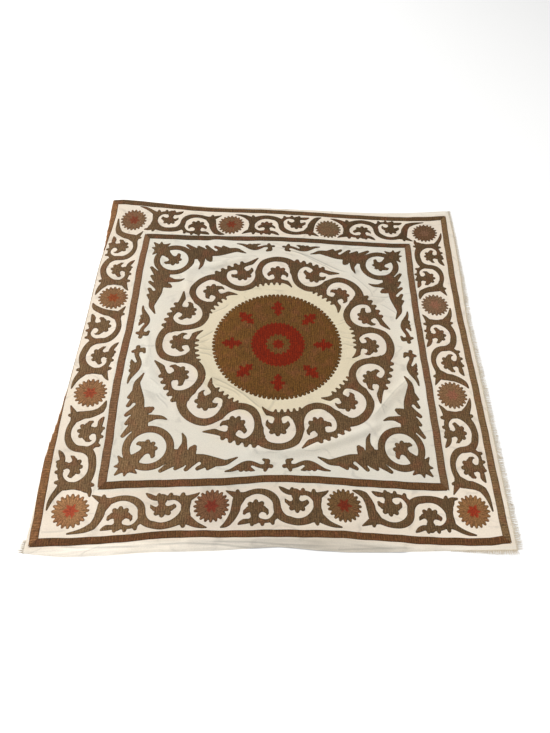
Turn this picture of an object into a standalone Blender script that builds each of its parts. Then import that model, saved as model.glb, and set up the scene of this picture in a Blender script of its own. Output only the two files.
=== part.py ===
"""Suzani: a square wall and bed cloth of plain-woven cotton, hand embroidered, lying flat on a surface.

The ground cloth is one sheet. It is pulled a little out of square, its left margin is folded
under along most of that side, and it has a few soft creases. Its right edge, the right end of its
lower edge and its lower left corner are frayed, so each has a narrow row of loose warp ends.
+X is to the viewer's right, +Y is away from the viewer, and the underside lies at z = 0.
"""
import math
import random

import bmesh
import bpy
import numpy as np

MM = 0.001

# Driving dimensions, metres.
FRAME_HALF = 0.528          # centre to the outer edge of the inner embroidered frame
BAND_HALF = 0.690           # centre to the outer edge of the outer embroidered frame
RAW_LEFT = 0.706            # centre to the cloth's cut left edge, when that side is unfolded
SHEET = 0.0015              # ground cloth with its embroidery
LAYER_GAP = 0.0008          # air between the cloth and the flap folded under it
SHORTEST_LIP = 0.004        # cloth left beyond the crease where the fold runs out
RUN_IN = 0.006              # the cloth stays raised this far past the flap's cut edge
RUN_DOWN = 0.060            # then it sinks to the surface over this distance
CURL_END = -0.600           # the fold has opened out at this height and is whole at the next one
CURL_START = -0.480
PART_GAP = 0.00035          # air between the cloth's edge and a row of frayed ends
STRIP_WIDTH = 0.0040        # the woven strip that carries a row of frayed ends
END_SPACING = 0.0066        # between frayed ends, each standing for a lock of fine threads
ROOT_HALF = 0.0010          # half an end's width where it leaves the strip
TIP_HALF = 0.0005
TIP_HEIGHT = 0.0009
END_SWAY = 0.14             # how far neighbouring ends lean the same way, radians
END_STRAY = 0.05            # how far one end strays from its neighbours, radians
END_WEAR = (0.78, 1.12)     # shortest and longest end, as parts of the mean length
LOWER_FRAY_FROM = 0.500     # the lower edge is frayed from here to its right end
CORNER_FRAY_TO = -0.670     # the left side is frayed from the lower corner up to here
COLUMNS = 60
ROWS = 60
CROWDING = 0.45             # how much closer the rows and columns stand near the edges
CURL_STEPS = 5
FLAP_STEPS = 3

CURL_RADIUS = (SHEET + LAYER_GAP) / 2

# How far the cloth is pulled out of square, in millimetres: a place on the squared pattern, then
# how far the cloth at that place lies to the right and away from the viewer.
# (place, x, y, right, away)
PULLS = (
    ("outer frame, top left corner", -690, 690, 7, 28),
    ("top band, beside that corner", -634, 690, 8, 33),
    ("top band, left of middle", -230, 690, 8, 0),
    ("top band, right part", 330, 690, 6, -17),
    ("top band, right end", 600, 690, 4, -17),
    ("outer frame, top right corner", 690, 690, 3, -6),
    ("right band, upper part", 690, 213, -12, 6),
    ("outer frame, lower right corner", 690, -690, -7, 7),
    ("lower band, right part", 380, -690, 7, 3),
    ("lower band, left part", -370, -690, 8, 0),
    ("outer frame, lower left corner", -690, -690, 2, -32),
    ("left band, lower quarter", -690, -475, -10, -21),
    ("left band, below middle", -690, -211, -16, -17),
    ("left band, upper quarter", -690, 370, -8, 0),
    ("inner frame, top left corner", -528, 528, 2, 3),
    ("inner frame, top side", -200, 528, 4, 1),
    ("inner frame, lower right corner", 528, -528, -2, 1),
    ("inner frame, lower side", 0, -528, 9, 18),
    ("inner frame, lower left corner", -528, -528, 1, -19),
    ("inner frame, left side", -528, 93, -4, -3),
    ("rosette, top left", -592, 592, 12, 13),
    ("rosette, top side", -198, 592, 9, 6),
    ("rosette, right side", 592, -198, -5, 10),
    ("rosette, lower side", -198, -592, 13, 2),
    ("rosette, left side", -592, -198, -15, -17),
    ("medallion", 0, 0, 6, 4),
    ("vine ring, top", 0, 417, 2, 9),
    ("vine ring, left", -417, 0, -5, 1),
)

# Plain margin outside the outer frame, in millimetres: (place along the side, width there).
TOP_MARGIN = ((-700, 1), (-430, 2), (-208, 8), (-26, 10), (214, 14), (401, 19), (493, 24), (585, 28),
              (720, 30))
RIGHT_MARGIN = ((-740, 12), (-528, 13), (106, 13), (317, 21), (528, 22), (720, 14))
LOWER_MARGIN = ((-700, 16), (-590, 34), (-456, 41), (-180, 39), (0, 32), (110, 39), (200, 39), (290, 33),
                (386, 25), (480, 20), (700, 18))

# The left side's crease, in millimetres: (place up the side, distance left of the centre).
LEFT_CREASE = ((-740, 700), (-690, 698), (-600, 691), (-422, 689), (-370, 685), (-317, 678), (-264, 673),
               (-158, 667), (422, 668), (475, 673), (528, 681), (640, 689), (690, 688), (720, 682))

# Soft creases, in millimetres as the cloth lies: name, width, height, and the line each runs along.
# (name, width, height, ((x, y), ...))
CREASES = (
    ("across the top of the ring", 20, 5.0,
     ((-250, 509), (-116, 468), (0, 466), (69, 450), (198, 402), (290, 358))),
    ("upper left of the ring", 20, 4.0, ((-330, 348), (-238, 371), (-140, 404))),
    ("left of the ring, upper", 20, 2.4, ((-345, 330), (-330, 258))),
    ("lower left, through the plain ring", 19, 4.0, ((-270, -78), (-217, -140), (-100, -206), (-40, -268))),
    ("left of the ring, lower", 20, 2.8, ((-424, -128), (-366, -200), (-318, -262))),
    ("right of the ring, lower", 20, 4.4, ((446, -136), (375, -206), (322, -266))),
    ("below the ring", 21, 5.0, ((316, -316), (198, -366), (100, -400), (26, -411), (-68, -405))),
    ("lower margin", 17, 5.0, ((-240, -694), (0, -684), (200, -690), (360, -700))),
    ("upper right corner", 18, 2.4, ((560, 668), (690, 672))),
)


def table_value(table, at):
    """Read a table of (place, value) rows in millimetres, evenly between its rows."""
    places, values = zip(*table)
    return np.interp(np.asarray(at) / MM, places, values) * MM


def smooth(t):
    """Rise softly from 0 to 1."""
    t = np.clip(t, 0.0, 1.0)
    return t * t * (3.0 - 2.0 * t)


def bend_kernel(distance):
    """The shape a thin plate takes around a point that is pushed aside."""
    return np.where(distance > 0, distance ** 2 * np.log(np.maximum(distance, 1e-9)), 0.0)


PULL_AT = np.array([row[1:3] for row in PULLS]) * MM
PULL_BY = np.array([row[3:5] for row in PULLS]) * MM


def plate_weights():
    """Weights that make the pulls meet at their places and pass smoothly between them."""
    count = len(PULLS)
    apart = np.linalg.norm(PULL_AT[:, None] - PULL_AT[None], axis=2)
    plane = np.column_stack((np.ones(count), PULL_AT))
    system = np.block([[bend_kernel(apart), plane], [plane.T, np.zeros((3, 3))]])
    return np.linalg.solve(system, np.vstack((PULL_BY, np.zeros((3, 2)))))


PLATE = plate_weights()


def pulled(x, y):
    """Where a place on the squared pattern lies on the real, slightly uneven cloth."""
    at = np.column_stack((np.ravel(x), np.ravel(y)))
    apart = np.linalg.norm(at[:, None] - PULL_AT[None], axis=2)
    basis = np.column_stack((bend_kernel(apart), np.ones(len(at)), at))
    moved = at + basis @ PLATE
    return moved[:, 0].reshape(np.shape(x)), moved[:, 1].reshape(np.shape(y))


def crease_height(x, y):
    """Height of the soft creases at a place on the cloth as it lies."""
    height = np.zeros_like(x)
    faded_at = 0.05
    for _, width, rise, line in CREASES:
        line = np.array(line) * MM
        off = np.full(np.shape(x), np.inf)
        for start, end in zip(line, line[1:]):
            run = end - start
            along = np.clip(((x - start[0]) * run[0] + (y - start[1]) * run[1]) / (run @ run), 0, 1)
            off = np.minimum(off, np.hypot(x - start[0] - along * run[0], y - start[1] - along * run[1]))
        bell = np.exp(-(off / (width * MM)) ** 2)
        height = np.maximum(height, rise * MM * np.maximum(bell - faded_at, 0.0) / (1 - faded_at))
    return height


def crowded(count):
    """Steps from 0 to 1 that stand closer together near both ends."""
    t = np.linspace(0.0, 1.0, count + 1)
    return t - CROWDING * np.sin(2 * math.pi * t) / (2 * math.pi)


def row_height(t):
    """Height up the squared pattern of a row that is a part t of the way up the cloth."""
    return (t * 2.0 - 1.0) * BAND_HALF


def cloth_rows():
    """The sheet's middle surface: one row of points for each height, from flap to right edge."""
    rows = []
    for t in crowded(ROWS):
        level = row_height(t)
        crease = -float(table_value(LEFT_CREASE, level))
        right = BAND_HALF + float(table_value(RIGHT_MARGIN, level))
        curl = math.pi * float(smooth((level - CURL_END) / (CURL_START - CURL_END)))
        lip = SHORTEST_LIP + (RAW_LEFT + crease - SHORTEST_LIP) * (curl / math.pi) ** 4
        straight = max(lip - CURL_RADIUS * curl, 0.0)
        rise = CURL_RADIUS * (1 - math.cos(curl)) + straight * math.sin(curl)

        x = crease + crowded(COLUMNS) * (right - crease)
        low = -BAND_HALF - table_value(LOWER_MARGIN, x)
        high = BAND_HALF + table_value(TOP_MARGIN, x)
        y = low + t * (high - low)
        held = lip + RUN_IN
        raised = rise * smooth(1.0 - (x - crease - held) / RUN_DOWN)
        plan_x, plan_y = pulled(x, y)
        z = SHEET / 2 + raised + crease_height(plan_x, plan_y)
        main = list(zip(plan_x, plan_y, z))

        flap = []
        arc = CURL_RADIUS * curl
        steps = [arc * (k + 1) / CURL_STEPS for k in range(CURL_STEPS)]
        steps += [arc + straight * (k + 1) / FLAP_STEPS for k in range(FLAP_STEPS)]
        for run in steps:
            turned = min(run, arc) / CURL_RADIUS if arc > 0 else 0.0
            beyond = max(run - arc, 0.0)
            out = CURL_RADIUS * math.sin(turned) + beyond * math.cos(turned)
            down = CURL_RADIUS * (1 - math.cos(turned)) + beyond * math.sin(turned)
            flap.append((plan_x[0] - out, plan_y[0], z[0] - down))
        rows.append(flap[::-1] + main)
    return rows


def own_material(name, rgb, roughness):
    """A dull dyed-cloth material with the part's main colour."""
    material = bpy.data.materials.new(name)
    material.use_nodes = True
    shader = material.node_tree.nodes["Principled BSDF"]
    shader.inputs["Base Color"].default_value = (*rgb, 1.0)
    shader.inputs["Roughness"].default_value = roughness
    shader.inputs["Metallic"].default_value = 0.0
    return material


def add_object(name, mesh, material, collection):
    """Link a mesh as one named object."""
    mesh.materials.append(material)
    piece = bpy.data.objects.new(name, mesh)
    collection.objects.link(piece)
    return piece


def ground_cloth(rows, material, collection):
    """The one sheet of cotton: an open surface with the cloth's thickness."""
    mesh = bpy.data.meshes.new("ground_cloth")
    work = bmesh.new()
    grid = [[work.verts.new(point) for point in row] for row in rows]
    for lower, upper in zip(grid, grid[1:]):
        for k in range(len(lower) - 1):
            work.faces.new((lower[k], lower[k + 1], upper[k + 1], upper[k]))
    bmesh.ops.recalc_face_normals(work, faces=work.faces)
    work.to_mesh(mesh)
    work.free()
    mesh.shade_smooth()
    piece = add_object("ground_cloth", mesh, material, collection)
    body = piece.modifiers.new("cloth thickness", "SOLIDIFY")
    body.thickness = SHEET
    body.offset = 0.0
    body.use_even_offset = True
    return piece


def frayed_row(name, edge, side, length_at, seed, material, collection):
    """A row of loose warp ends: a narrow strip beside a cloth edge, with the ends drawn out of it.

    edge lists the cloth's edge points in order, side is the way out of the cloth in plan, and
    length_at gives the mean length of an end at a place on the row.
    """
    draw = random.Random(seed)
    edge = np.array(edge)
    run = np.gradient(edge, axis=0)
    out = np.column_stack((run[:, 1], -run[:, 0]))
    out /= np.linalg.norm(out, axis=1)[:, None]
    if out[len(out) // 2] @ np.array(side) < 0:
        out = -out
    outer = edge + out * (PART_GAP + STRIP_WIDTH)

    work = bmesh.new()

    def post(at, height=SHEET):
        """A lower and an upper corner at one place in plan."""
        return work.verts.new((at[0], at[1], 0.0)), work.verts.new((at[0], at[1], height))

    def wall(near, far):
        """The upright face between two posts."""
        work.faces.new((near[0], far[0], far[1], near[1]))

    inner_posts = [post(at) for at in edge + out * PART_GAP]
    outer_posts = [post(at) for at in outer]
    for k in range(len(edge) - 1):
        begin, end = outer[k], outer[k + 1]
        span = np.linalg.norm(end - begin)
        ends = max(1, round(span / END_SPACING))
        along = (end - begin) / span
        away = np.array((along[1], -along[0]))
        away = away if away @ out[k] > 0 else -away
        chain = [outer_posts[k]]
        for n in range(ends):
            root = begin + (end - begin) * (n + 0.5) / ends
            lean = END_SWAY * math.sin(2.1 * k + 0.4 * n) + draw.uniform(-END_STRAY, END_STRAY)
            reach = length_at(root) * draw.uniform(*END_WEAR)
            tip = root + reach * (away * math.cos(lean) + along * math.sin(lean))
            left, right = post(root - along * ROOT_HALF), post(root + along * ROOT_HALF)
            tip_left = post(tip - along * TIP_HALF, TIP_HEIGHT)
            tip_right = post(tip + along * TIP_HALF, TIP_HEIGHT)
            for near, far in ((left, tip_left), (tip_left, tip_right), (tip_right, right), (chain[-1], left)):
                wall(near, far)
            for level in (0, 1):
                work.faces.new((left[level], right[level], tip_right[level], tip_left[level]))
            chain += [left, right]
        wall(chain[-1], outer_posts[k + 1])
        chain += [outer_posts[k + 1], inner_posts[k + 1], inner_posts[k]]
        for level in (0, 1):
            work.faces.new([corner[level] for corner in chain])
        wall(inner_posts[k + 1], inner_posts[k])
    wall(inner_posts[0], outer_posts[0])
    wall(inner_posts[-1], outer_posts[-1])
    bmesh.ops.recalc_face_normals(work, faces=work.faces)
    mesh = bpy.data.meshes.new(name)
    work.to_mesh(mesh)
    work.free()
    return add_object(name, mesh, material, collection)


def right_fringe_length(at):
    """Warp ends are long on the lower part of the right side and worn short above."""
    return 0.0070 + 0.0050 * float(smooth((0.42 - at[1]) / 0.30))


def corner_fringe_length(at):
    """Warp ends at the lower left corner, longest at the corner itself."""
    return 0.006 + 0.005 * float(smooth((-0.68 - at[1]) / 0.05))


def lower_fringe_length(at):
    """Warp ends on the right end of the lower edge, a little longer towards the corner."""
    return 0.005 + 0.003 * float(smooth((at[0] - 0.52) / 0.16))


def build():
    for old in list(bpy.data.objects):
        bpy.data.objects.remove(old, do_unlink=True)
    collection = bpy.data.collections.new("suzani")
    bpy.context.scene.collection.children.link(collection)
    rows = cloth_rows()
    ground_cloth(rows, own_material("cotton ground", (0.80, 0.74, 0.66), 0.9), collection)

    right_edge = [row[-1][:2] for row in rows]
    lower_edge = [point[:2] for point in rows[0][CURL_STEPS + FLAP_STEPS:] if point[0] > LOWER_FRAY_FROM]
    corner_edge = [row[0][:2] for row in rows if row[0][1] < CORNER_FRAY_TO]
    frayed_row("fringe_right", right_edge, (1, 0), right_fringe_length, 3,
               own_material("frayed ends, right", (0.78, 0.72, 0.63), 0.95), collection)
    frayed_row("fringe_bottom_right", lower_edge[:-1], (0, -1), lower_fringe_length, 5,
               own_material("frayed ends, lower right", (0.78, 0.72, 0.63), 0.95), collection)
    frayed_row("fringe_corner_left", corner_edge, (-1, 0), corner_fringe_length, 7,
               own_material("frayed ends, lower left", (0.78, 0.72, 0.63), 0.95), collection)


build()
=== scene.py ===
"""Suzani: a square embroidered cotton cloth, lying flat, seen from a standing height."""
import math

import bpy
import numpy as np
from mathutils import Matrix, Vector


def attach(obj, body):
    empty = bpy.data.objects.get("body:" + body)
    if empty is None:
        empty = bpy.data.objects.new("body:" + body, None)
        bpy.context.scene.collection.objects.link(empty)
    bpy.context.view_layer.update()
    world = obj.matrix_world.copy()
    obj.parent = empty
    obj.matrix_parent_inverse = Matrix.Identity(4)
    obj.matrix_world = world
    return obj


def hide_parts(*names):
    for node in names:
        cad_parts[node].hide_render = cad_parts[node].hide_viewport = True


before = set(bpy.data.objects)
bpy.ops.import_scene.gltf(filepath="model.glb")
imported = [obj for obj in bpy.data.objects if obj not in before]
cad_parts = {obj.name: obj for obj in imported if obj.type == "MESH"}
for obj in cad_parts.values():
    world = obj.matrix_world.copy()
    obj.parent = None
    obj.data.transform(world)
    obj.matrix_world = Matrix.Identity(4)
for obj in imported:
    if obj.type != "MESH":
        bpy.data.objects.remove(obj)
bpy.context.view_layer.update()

# ---------------------------------------------------------------------------------------------
# Camera. A standing person's eye, 1.69 m above the surface, looks down at the near half of the
# cloth. Its place is in metres and its angles are in radians.
EYE = (-0.0388, -1.2353, 1.691)
LOOK_DOWN, LOOK_RIGHT, HEAD_TILT = 0.9752, 0.0301, 0.0505
LENS_MM = 29.47

ahead = Vector((math.sin(LOOK_RIGHT) * math.cos(LOOK_DOWN),
                math.cos(LOOK_RIGHT) * math.cos(LOOK_DOWN), -math.sin(LOOK_DOWN)))
level_right = Vector((math.cos(LOOK_RIGHT), -math.sin(LOOK_RIGHT), 0.0))
level_up = level_right.cross(ahead)
right = level_right * math.cos(HEAD_TILT) + level_up * math.sin(HEAD_TILT)
up = level_up * math.cos(HEAD_TILT) - level_right * math.sin(HEAD_TILT)
eye = bpy.data.cameras.new("eye")
eye.lens = LENS_MM
camera = bpy.data.objects.new("eye", eye)
bpy.context.scene.collection.objects.link(camera)
camera.matrix_world = Matrix.Translation(EYE) @ Matrix((right, up, -ahead)).transposed().to_4x4()
bpy.context.scene.camera = camera

# ---------------------------------------------------------------------------------------------
# Ground cloth. One square of hand-woven cotton, washed soft and gone slightly yellow. It is pulled
# a little out of square, its left margin is folded under, and it keeps a few soft creases. It lies
# loose on the floor.
MM = 0.001
BAND_HALF = 0.690            # centre to the outer edge of the outer embroidered frame
RAW_LEFT = 0.706             # centre to the cut left edge, when that side is unfolded
SHEET = 0.0015               # cloth with its embroidery
LAYER_GAP = 0.0008           # air between the cloth and the flap folded under it
SHORTEST_LIP = 0.004         # cloth left beyond the crease where the fold runs out
RUN_IN = 0.006               # the cloth stays raised this far past the flap's cut edge
RUN_DOWN = 0.060             # then it sinks to the floor over this distance
CURL_END, CURL_START = -0.600, -0.480     # the fold opens out between these heights
CURL_RADIUS = (SHEET + LAYER_GAP) / 2
CLOTH_LOW, CLOTH_HIGH = -0.70, 0.10       # the cotton's two faces, from the sheet's middle, mm
PRESSED = 0.70                            # nothing stands further out than this on the flap, mm
EDGE_ROUND, EDGE_DROP = 0.0022, 0.0008    # the raw edges round down by this much over this width
ROWS, COLUMNS, CURL_STEPS, FLAP_STEPS = 208, 204, 10, 5   # how finely the sheet is divided

# How far the cloth is pulled out of square, in millimetres: a place on the squared pattern, then
# how far the cloth at that place lies to the right and away from the viewer.
# (place, x, y, right, away)
PULLS = (
    ("outer frame, top left corner", -690, 690, 7, 28),
    ("top band, beside that corner", -634, 690, 8, 33),
    ("top band, left of middle", -230, 690, 8, 0),
    ("top band, right part", 330, 690, 6, -17),
    ("top band, right end", 600, 690, 4, -17),
    ("outer frame, top right corner", 690, 690, 3, -6),
    ("right band, upper part", 690, 213, -12, 6),
    ("outer frame, lower right corner", 690, -690, -7, 7),
    ("lower band, right part", 380, -690, 7, 3),
    ("lower band, left part", -370, -690, 8, 0),
    ("outer frame, lower left corner", -690, -690, 2, -32),
    ("left band, lower quarter", -690, -475, -10, -21),
    ("left band, below middle", -690, -211, -16, -17),
    ("left band, upper quarter", -690, 370, -8, 0),
    ("inner frame, top left corner", -528, 528, 2, 3),
    ("inner frame, top side", -200, 528, 4, 1),
    ("inner frame, lower right corner", 528, -528, -2, 1),
    ("inner frame, lower side", 0, -528, 9, 18),
    ("inner frame, lower left corner", -528, -528, 1, -19),
    ("inner frame, left side", -528, 93, -4, -3),
    ("rosette, top left", -592, 592, 12, 13),
    ("rosette, top side", -198, 592, 9, 6),
    ("rosette, right side", 592, -198, -5, 10),
    ("rosette, lower side", -198, -592, 13, 2),
    ("rosette, left side", -592, -198, -15, -17),
    ("medallion", 0, 0, 6, 4),
    ("vine ring, top", 0, 417, 2, 9),
    ("vine ring, left", -417, 0, -5, 1),
    ("vine ring, near side", 0, -417, 8, 8),
)

# Plain margin outside the outer frame, in millimetres: (place along the side, width there).
TOP_MARGIN = ((-700, 1), (-430, 2), (-208, 8), (-26, 10), (214, 14), (401, 19), (493, 24), (585, 28),
              (720, 30))
RIGHT_MARGIN = ((-740, 12), (-528, 13), (106, 13), (317, 21), (528, 22), (720, 14))
LOWER_MARGIN = ((-700, 16), (-590, 34), (-456, 41), (-180, 39), (0, 32), (110, 39), (200, 39), (290, 33),
                (386, 25), (480, 20), (700, 18))

# The left side's crease, in millimetres: (place up the side, distance left of the centre).
LEFT_CREASE = ((-740, 700), (-690, 698), (-600, 691), (-422, 689), (-370, 685), (-317, 678), (-264, 673),
               (-158, 667), (422, 668), (475, 673), (528, 681), (640, 689), (690, 688), (720, 682))

# Soft creases, in millimetres as the cloth lies: name, width, height, and the line each runs along.
CREASES = (
    ("across the top of the ring", 16, 5.6,
     ((-250, 509), (-116, 468), (0, 466), (69, 450), (198, 402), (290, 358))),
    ("upper left of the ring", 16, 4.6, ((-330, 348), (-238, 371), (-140, 404))),
    ("left of the ring, upper", 16, 3.2, ((-345, 330), (-330, 258))),
    ("lower left, through the plain ring", 16, 4.4, ((-270, -78), (-217, -140), (-100, -206), (-40, -268))),
    ("left of the ring, lower", 16, 3.8, ((-424, -128), (-366, -200), (-318, -262))),
    ("right of the ring, lower", 17, 4.2, ((446, -136), (375, -206), (322, -266))),
    ("below the ring", 16, 5.6, ((316, -316), (198, -366), (100, -400), (26, -411), (-68, -405))),
    ("lower margin", 17, 5.0, ((-240, -694), (0, -684), (200, -690), (360, -700))),
    ("upper right corner", 18, 2.4, ((560, 668), (690, 672))),
    ("beside the medallion, left", 11, 2.0, ((-272, 20), (-226, 4))),
    ("beside the medallion, left, second", 11, 2.0, ((-268, -12), (-228, -30))),
    ("beside the medallion, right", 11, 2.0, ((226, 12), (272, 4))),
    ("inside the ring, lower right", 11, 2.2, ((150, -262), (228, -200), (268, -130))),
    ("inside the ring, lower left", 11, 2.2, ((-262, -120), (-196, -196), (-120, -250))),
    ("inside the ring, top", 11, 2.2, ((-110, 262), (0, 282), (90, 268))),
    ("field, upper left", 11, 2.2, ((-420, 240), (-364, 232))),
    ("field, left", 11, 2.2, ((-470, 60), (-440, -30), (-452, -96))),
    ("field, upper right", 11, 2.2, ((250, 470), (352, 396), (430, 300))),
    ("field, upper right, second", 11, 2.2, ((330, 448), (440, 372), (486, 300))),
    ("field, lower right", 11, 2.2, ((352, -330), (300, -402), (226, -448))),
    ("top margin, right", 11, 2.2, ((380, 706), (540, 704), (690, 704))),
    ("lower margin, second", 11, 2.2, ((-60, -708), (120, -712), (300, -706))),
    ("lower border, middle", 11, 2.2, ((-120, -640), (60, -650), (240, -640))),
    ("right border, upper", 11, 2.2, ((640, 330), (664, 240), (640, 150))),
    ("right border, lower", 11, 2.2, ((560, -250), (650, -300))),
    ("left border, middle", 11, 2.2, ((-640, 120), (-566, 60))),
)
BELL_CUT = 0.05              # a crease's bell shape ends where it has sunk to this share

# Sharp small creases, each seen as a thin line of shade: name, how deep the shade is, and the line it
# runs along, in millimetres as the cloth lies. They are in two sets, so that neighbours in one set
# stay well apart.
FINE_CREASES = ((
    ("across the top of the ring", 1.0, ((-30, 470), (9, 467), (68, 449), (120, 427), (183, 392), (234, 362),
                                         (285, 345))),
    ("across the top, right end", 0.6, ((270, 350), (306, 317), (347, 266), (362, 220))),
    ("top left of the ring", 0.4, ((-310, 380), (-281, 385), (-214, 394), (-160, 410))),
    ("field, right of the ring", 0.6, ((340, 236), (367, 234), (403, 232), (425, 238))),
    ("field, right of the ring, second", 0.6, ((375, 200), (394, 191), (427, 164), (440, 150))),
    ("plain ring, upper left", 0.7, ((-240, 130), (-226, 141), (-189, 162), (-172, 184))),
    ("plain ring, left", 0.9, ((-276, 12), (-262, 24), (-230, 48), (-222, 60))),
    ("plain ring, left, third", 0.9, ((-276, -20), (-264, -23), (-232, -28), (-218, -26))),
    ("plain ring, lower left", 1.0, ((-232, -132), (-211, -144), (-170, -164), (-139, -183), (-106, -206),
                                     (-58, -250), (-30, -270))),
    ("plain ring, right", 0.7, ((222, 8), (240, 12), (262, 4), (280, 8))),
    ("plain ring, right, second", 0.5, ((222, 112), (236, 118), (268, 133))),
    ("plain ring, right, third", 0.5, ((224, 46), (238, 42), (270, 33))),
    ("field, lower left", 0.6, ((-396, -205), (-382, -226), (-357, -250), (-346, -268))),
    ("field, left", 0.5, ((-425, -146), (-409, -159), (-386, -180))),
    ("right of the ring, lower", 0.45, ((470, -100), (458, -116), (400, -172), (364, -216), (326, -266),
                                        (300, -290))),
    ("lower margin, left", 0.7, ((-690, -708), (-673, -712), (-550, -721), (-422, -715), (-350, -712))),
    ("lower margin, middle", 0.9, ((-370, -704), (-352, -707), (-263, -702), (-159, -703), (-68, -711),
                                   (60, -714))),
    ("lower left corner", 0.5, ((-668, -676), (-655, -679), (-618, -676), (-590, -672))),
    ("top margin, right", 0.5, ((330, 703), (470, 706), (640, 703), (690, 700))),
), (
    ("across the top, second", 0.7, ((60, 452), (85, 443), (143, 406), (190, 378), (230, 340))),
    ("across the top, left end", 0.5, ((-330, 446), (-303, 443), (-250, 422), (-190, 412), (-120, 424))),
    ("plain ring, left, second", 0.6, ((-284, -6), (-268, 1), (-246, 10), (-232, 22))),
    ("plain ring, left, fourth", 0.8, ((-270, -38), (-257, -42), (-234, -46), (-216, -56))),
    ("plain ring, lower left, second", 0.6, ((-214, -160), (-199, -170), (-159, -185), (-133, -198),
                                             (-112, -220))),
    ("field, lower left, second", 0.5, ((-384, -205), (-374, -219), (-352, -236))),
    ("right of the ring, lower, second", 0.5, ((338, -196), (344, -224), (356, -272))),
    ("lower margin, middle, second", 0.8, ((-220, -697), (-159, -696), (-68, -695), (40, -700), (180, -704))),
    ("lower margin, right", 0.7, ((60, -706), (180, -712), (300, -706), (420, -702))),
))
FAR_OFF = 40.0               # further from a sharp crease than this, its shade doesn't reach, mm
END_FADE = 0.2               # the share of a sharp crease's length over which each end fades out

# The cotton's dye, each zone laid over those before it and the open field under them all: (zone,
# shape of its edge, the edge's place, the width it fades over, colour). Places and widths are in
# metres from the middle. A place is below zero where the zone lies inside its edge.
OPEN_FIELD = "#E0DACC"       # cool and grey
COTTON_ZONES = (
    ("among the vines, pinkish", "round", -0.425, 0.03, "#E4D8C8"),
    ("inside the vine ring, creamy", "round", -0.315, 0.04, "#DED1B3"),
    ("border, pinkish", "square", 0.525, 0.02, "#EDDFCD"),
    ("margin, pale", "square", 0.692, 0.01, "#F3EADB"),
)
YELLOWED = "#E6D6BC"
# Where the cotton is duller or brighter than the rest: (place, x, y, half width, half depth, shade)
COTTON_SHADES = (
    ("lower border, middle", -60, -600, 330, 90, 0.89),
    ("top border", 60, 610, 560, 90, 0.93),
    ("lower border, right end", 600, -590, 130, 110, 1.11),
    ("lower border, left end", -600, -610, 150, 130, 1.09),
    ("left border", -600, -60, 100, 300, 1.05),
    ("right border", 600, -60, 90, 260, 1.03),
    ("lower margin, left", -480, -715, 240, 26, 1.13),
    # Painted shade where the near margin's lip turns down, away from the light, right of its middle.
    ("lower margin, right of middle, painted shade", 130, -712, 210, 24, 0.70),
    ("field, right side", 478, 0, 60, 260, 1.10),
    ("field, left side", -478, 0, 60, 200, 1.05),
    ("top left corner", -600, 600, 150, 150, 0.94),
)


def table_value(table, at):
    """Read a table of (place, value) rows in millimetres, evenly between its rows."""
    places, values = zip(*table)
    return np.interp(np.asarray(at) / MM, places, values) * MM


def smooth(t):
    """Rise softly from 0 to 1."""
    t = np.clip(t, 0.0, 1.0)
    return t * t * (3.0 - 2.0 * t)


def beside(x, y, start, end):
    """How far along the line from start to end a place is, as a share, and how far off the line."""
    run_x, run_y = end[0] - start[0], end[1] - start[1]
    along = np.clip(((x - start[0]) * run_x + (y - start[1]) * run_y) / (run_x ** 2 + run_y ** 2), 0.0, 1.0)
    return along, np.hypot(x - start[0] - along * run_x, y - start[1] - along * run_y)


def bend_kernel(distance):
    """The shape a thin plate takes around a point that is pushed aside."""
    return np.where(distance > 0, distance ** 2 * np.log(np.maximum(distance, 1e-9)), 0.0)


PULL_AT = np.array([row[1:3] for row in PULLS]) * MM
PULL_BY = np.array([row[3:5] for row in PULLS]) * MM


def plate_weights():
    """Weights that make the pulls meet at their places and pass smoothly between them."""
    apart = np.linalg.norm(PULL_AT[:, None] - PULL_AT[None], axis=2)
    plane = np.column_stack((np.ones(len(PULLS)), PULL_AT))
    system = np.block([[bend_kernel(apart), plane], [plane.T, np.zeros((3, 3))]])
    return np.linalg.solve(system, np.vstack((PULL_BY, np.zeros((3, 2)))))


PLATE = plate_weights()


def pulled(x, y):
    """Where a place on the squared pattern lies on the real, slightly uneven cloth."""
    at = np.column_stack((np.ravel(x), np.ravel(y)))
    apart = np.linalg.norm(at[:, None] - PULL_AT[None], axis=2)
    moved = at + np.column_stack((bend_kernel(apart), np.ones(len(at)), at)) @ PLATE
    return moved[:, 0].reshape(np.shape(x)), moved[:, 1].reshape(np.shape(y))


def crease_height(x, y):
    """Height of the soft creases at a place on the cloth as it lies."""
    height = np.zeros_like(x)
    for _, width, rise, line in CREASES:
        off = np.minimum.reduce([beside(x / MM, y / MM, *ends)[1] for ends in zip(line, line[1:])])
        bell = np.exp(-(off / width) ** 2)
        height = np.maximum(height, rise * MM * np.maximum(bell - BELL_CUT, 0.0) / (1 - BELL_CUT))
    return height


def fine_crease(x, y, creases):
    """Signed distance to the nearest sharp crease, in mm, and how deep its shade is there. x and y are
    metres on the cloth as it lies. Each crease fades out at both ends."""
    nearest = np.full(np.shape(x), np.inf)
    signed = np.full(np.shape(x), FAR_OFF)
    depth = np.zeros(np.shape(x))
    x, y = x / MM, y / MM
    for _, strength, line in creases:
        lengths = [math.dist(*ends) for ends in zip(line, line[1:])]
        gone = 0.0
        for start, end, length in zip(line, line[1:], lengths):
            along, off = beside(x, y, start, end)
            on_left = (y - start[1]) * (end[0] - start[0]) > (x - start[0]) * (end[1] - start[1])
            from_end = np.minimum(gone + along * length, sum(lengths) - gone - along * length)
            closer = off < nearest
            nearest = np.where(closer, off, nearest)
            signed = np.where(closer, np.where(on_left, 1.0, -1.0) * np.minimum(off, FAR_OFF), signed)
            depth = np.where(closer, strength * smooth(from_end / (END_FADE * sum(lengths))), depth)
            gone += length
    return signed, depth


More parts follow.
